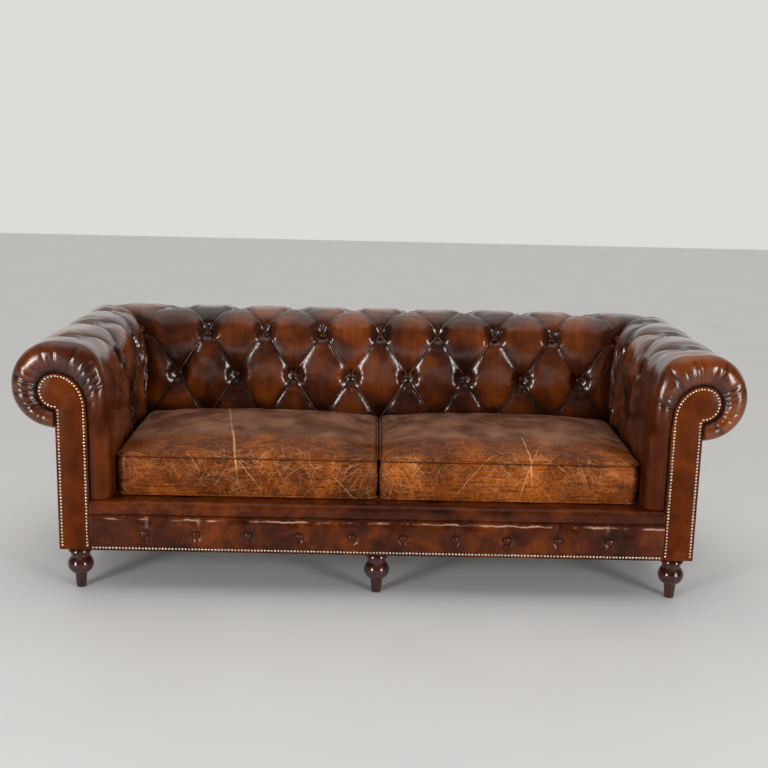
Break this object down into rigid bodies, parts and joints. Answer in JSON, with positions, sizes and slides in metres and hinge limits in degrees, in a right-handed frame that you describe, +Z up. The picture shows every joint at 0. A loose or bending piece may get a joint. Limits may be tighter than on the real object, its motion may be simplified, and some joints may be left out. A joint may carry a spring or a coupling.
{
  "type": "sofa",
  "caption": "Low leather sofa with rolled arms level with the back, deep diamond buttoning, nailed front panels, loose seat cushions and turned wooden feet.",
  "frame": {"origin": "on the floor, under the middle of the bounding box", "axes": "+X to the right as seen from the front, +Y to the back, +Z up"},
  "size_m": [2.286, 0.9988, 0.812],
  "materials": {
    "timber": "planed hardwood",
    "turned_wood": "dark gloss",
    "steel": "zinc plated",
    "dark_cloth": "woven",
    "webbing": "woven jute",
    "foam": "upholstery foam",
    "fibreboard": "pressed board",
    "aged_brass": "aged",
    "leather_buttons": "waxed",
    "leather_tan": "distressed",
    "leather_brown": "waxed, aged"
  },
  "bodies": {
    "frame": {"front_rail": "timber", "back_rail": "timber", "side_rail_left": "timber", "side_rail_right": "timber", "cross_rails": "timber", "corner_blocks": "timber", "corner_posts": "timber", "foot_front_left": "turned_wood", "foot_front_middle": "turned_wood", "foot_front_right": "turned_wood", "foot_back_left": "turned_wood", "foot_back_middle": "turned_wood", "foot_back_right": "turned_wood", "foot_bolts": "steel", "dust_cover": "dark_cloth", "webbing_long": "webbing", "webbing_short": "webbing", "deck_padding": "foam", "deck_cover": "dark_cloth", "lip_roll": "foam", "lip_cover": "leather_brown", "border_cover": "leather_brown", "border_buttons": "leather_buttons", "border_nails": "aged_brass", "arm_left_ribs": "timber", "arm_left_rails": "timber", "arm_left_liner": "fibreboard", "arm_left_foam": "foam", "arm_left_leather": "leather_brown", "arm_left_buttons": "leather_buttons", "arm_left_panel": "leather_brown", "arm_left_nails": "aged_brass", "arm_left_outside": "leather_brown", "arm_right_ribs": "timber", "arm_right_rails": "timber", "arm_right_liner": "fibreboard", "arm_right_foam": "foam", "arm_right_leather": "leather_brown", "arm_right_buttons": "leather_buttons", "arm_right_panel": "leather_brown", "arm_right_nails": "aged_brass", "arm_right_outside": "leather_brown", "back_ribs": "timber", "back_rails": "timber", "back_liner": "fibreboard", "back_foam": "foam", "back_leather": "leather_brown", "back_buttons": "leather_buttons", "back_outside": "leather_brown"},
    "cushion_left": {"cushion_left_cover": "leather_tan", "cushion_left_core": "foam", "cushion_left_piping": "leather_tan", "cushion_left_zip": "dark_cloth"},
    "slider_left": {"cushion_left_slider": "aged_brass"},
    "cushion_right": {"cushion_right_cover": "leather_tan", "cushion_right_core": "foam", "cushion_right_piping": "leather_tan", "cushion_right_zip": "dark_cloth"},
    "slider_right": {"cushion_right_slider": "aged_brass"}
  },
  "joints": [
    {"name": "cushion_left_lift", "type": "slide", "parent": "frame", "child": "cushion_left", "axis": [0, 0, 1], "range_m": [0, 0.52]},
    {"name": "cushion_right_lift", "type": "slide", "parent": "frame", "child": "cushion_right", "axis": [0, 0, 1], "range_m": [0, 0.52]},
    {"name": "cushion_left_zip_slide", "type": "slide", "parent": "cushion_left", "child": "slider_left", "axis": [-1, 0, 0], "range_m": [0, 0.6715]},
    {"name": "cushion_right_zip_slide", "type": "slide", "parent": "cushion_right", "child": "slider_right", "axis": [1, 0, 0], "range_m": [0, 0.6715]}
  ]
}
